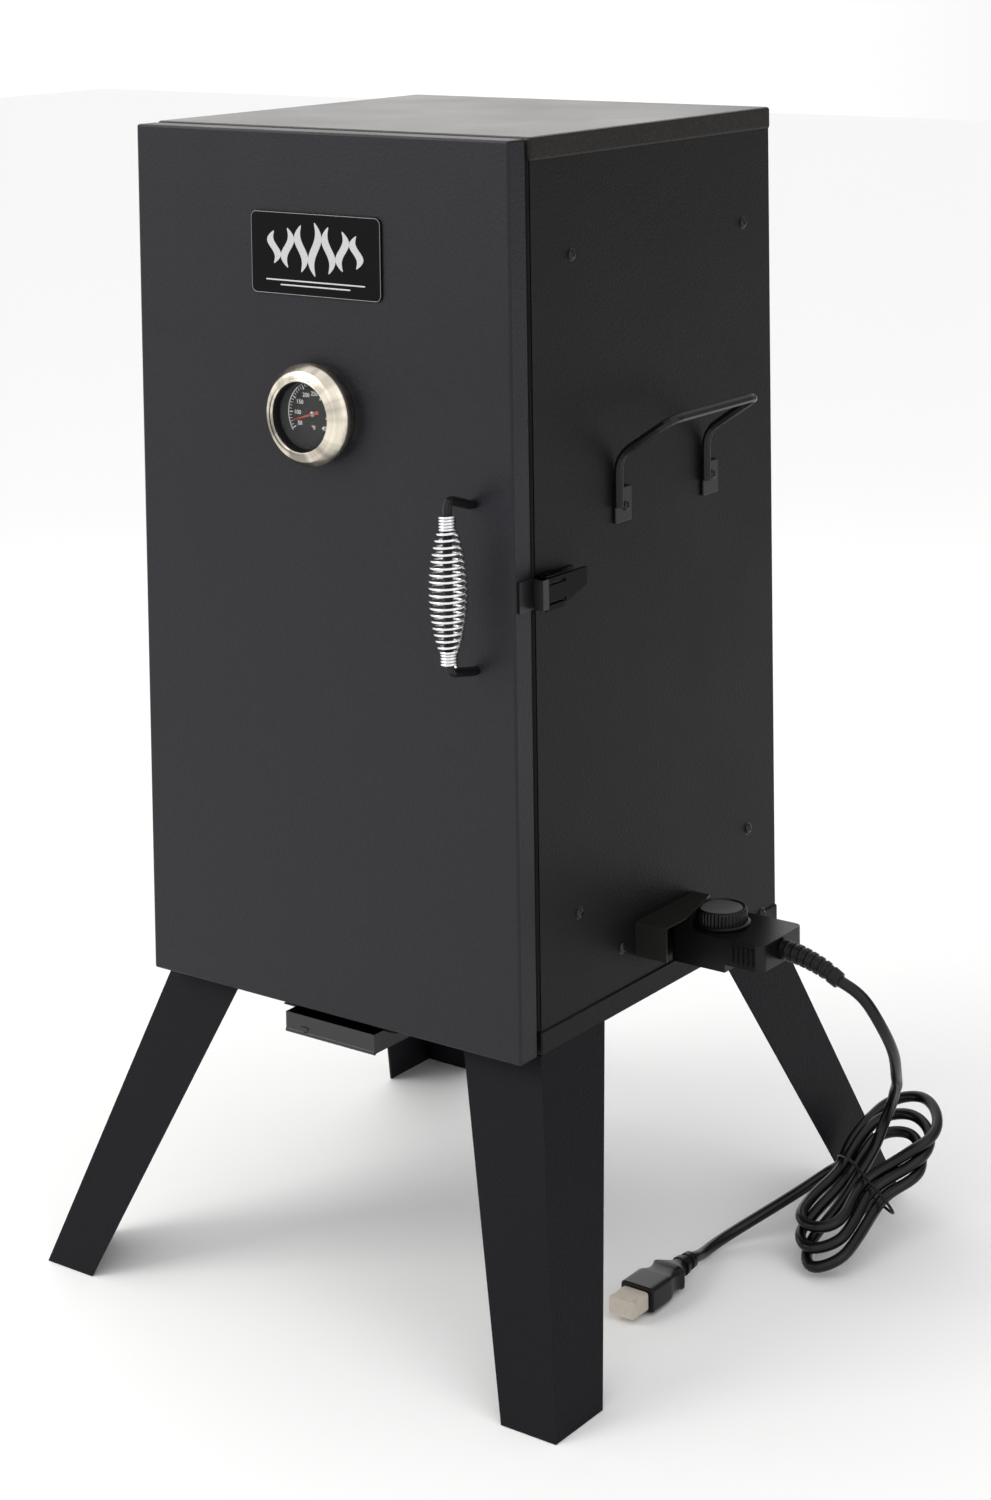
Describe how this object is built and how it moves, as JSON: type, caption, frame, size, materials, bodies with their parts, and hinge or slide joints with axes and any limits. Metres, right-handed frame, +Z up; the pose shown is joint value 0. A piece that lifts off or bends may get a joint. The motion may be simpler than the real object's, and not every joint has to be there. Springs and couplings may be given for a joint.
{
  "type": "electric cabinet smoker",
  "caption": "Tall square steel smoking cabinet on splayed legs, with a hinged front door, dial thermometer, plug-in heat controller, side handles and drip tray",
  "frame": {"origin": "on the floor, under the middle of the bounding box of everything but the cord and what is on it", "axes": "+X to the right of someone facing the door, +Y from the door to the back, +Z up"},
  "size_m": [0.6764, 0.564, 1.028],
  "materials": {
    "black_steel": "satin black powder coat",
    "inner_steel": "dull dark coating",
    "black_rod": "semi-gloss black",
    "chrome_wire": "bright plated wire",
    "brushed_ring": "turned and brushed",
    "name_plate": "gloss black with a bright edge",
    "dial_black": "matt black with pale marks",
    "pointer_red": "satin red",
    "clear_glass": "clear",
    "black_plastic": "moulded black",
    "knob_grey": "moulded, worn to dark grey on top",
    "cord_black": "glossy black sheath",
    "sleeve_grey": "pale sleeve",
    "plain_steel": "bare steel",
    "rope_seal": "woven fibre rope"
  },
  "bodies": {
    "cabinet": {"top_lid": "black_steel", "bottom_pan": "black_steel", "side_panel_left": "black_steel", "side_panel_right": "black_steel", "back_panel": "black_steel", "front_frame": "inner_steel", "leg_front_left": "black_steel", "leg_front_right": "black_steel", "leg_rear_left": "black_steel", "leg_rear_right": "black_steel", "carry_handle_left": "black_rod", "carry_handle_right": "black_rod", "rack_support_left": "inner_steel", "rack_support_right": "inner_steel", "cooking_grid_lower": "chrome_wire", "cooking_grid_upper": "chrome_wire", "water_pan": "inner_steel", "wood_chip_tray": "inner_steel", "heating_element": "plain_steel", "terminal_block": "black_plastic", "element_foot": "inner_steel", "tray_rail_left": "black_steel", "tray_rail_right": "black_steel", "hinge_leaf_body_lower": "black_rod", "hinge_leaf_body_upper": "black_rod", "hinge_pin_lower": "plain_steel", "hinge_pin_upper": "plain_steel", "latch_base": "black_rod", "controller_guard": "black_steel"},
    "door": {"door_skin": "black_steel", "door_liner": "inner_steel", "door_gasket": "rope_seal", "door_handle_bar": "black_rod", "door_handle_grip": "chrome_wire", "handle_nut_lower": "plain_steel", "handle_nut_upper": "plain_steel", "name_plate": "name_plate", "gauge_ring": "brushed_ring", "gauge_dial": "dial_black", "gauge_lens": "clear_glass", "gauge_stem": "plain_steel", "hinge_leaf_door_lower": "black_rod", "hinge_leaf_door_upper": "black_rod", "latch_keeper": "black_rod"},
    "gauge_hand": {"gauge_pointer": "pointer_red"},
    "latch_arm": {"latch_lever": "black_rod"},
    "latch_loop": {"latch_bail": "black_rod"},
    "controller": {"controller_housing": "black_plastic", "controller_probe": "plain_steel", "cord_strain_relief": "black_plastic", "cord_drop": "cord_black", "cord_hank": "cord_black", "cord_tail": "cord_black", "mains_plug": "black_plastic", "plug_blade_sleeve": "sleeve_grey"},
    "knob": {"controller_knob": "knob_grey"},
    "tray": {"drip_tray": "black_steel"}
  },
  "joints": [
    {"name": "door_swing", "type": "hinge", "parent": "cabinet", "child": "door", "pos_m": [-0.2195, -0.19, 0.646], "axis": [0, 0, -1], "range_deg": [0, 180]},
    {"name": "gauge_hand_turn", "type": "hinge", "parent": "door", "child": "gauge_hand", "pos_m": [-0.0105, -0.224, 0.788], "axis": [0, 1, 0], "range_deg": [-14, 238]},
    {"name": "latch_lever_turn", "type": "hinge", "parent": "cabinet", "child": "latch_arm", "pos_m": [0.1995, -0.181, 0.654], "axis": [0, 0, -1], "range_deg": [0, 110]},
    {"name": "latch_loop_turn", "type": "hinge", "parent": "latch_arm", "child": "latch_loop", "pos_m": [0.2027, -0.165, 0.654], "axis": [0, 0, 1], "range_deg": [0, 110]},
    {"name": "controller_unplug", "type": "slide", "parent": "cabinet", "child": "controller", "axis": [1, 0, 0], "range_m": [0, 0.09]},
    {"name": "knob_turn", "type": "hinge", "parent": "controller", "child": "knob", "pos_m": [0.2295, 0.036, 0.32], "axis": [0, 0, 1], "range_deg": [0, 270]},
    {"name": "drip_tray_slide", "type": "slide", "parent": "cabinet", "child": "tray", "axis": [0, -1, 0], "range_m": [0, 0.2]}
  ],
  "couplings": [
    {"joint": "latch_loop_turn", "follows": "latch_lever_turn", "ratio": 1}
  ]
}
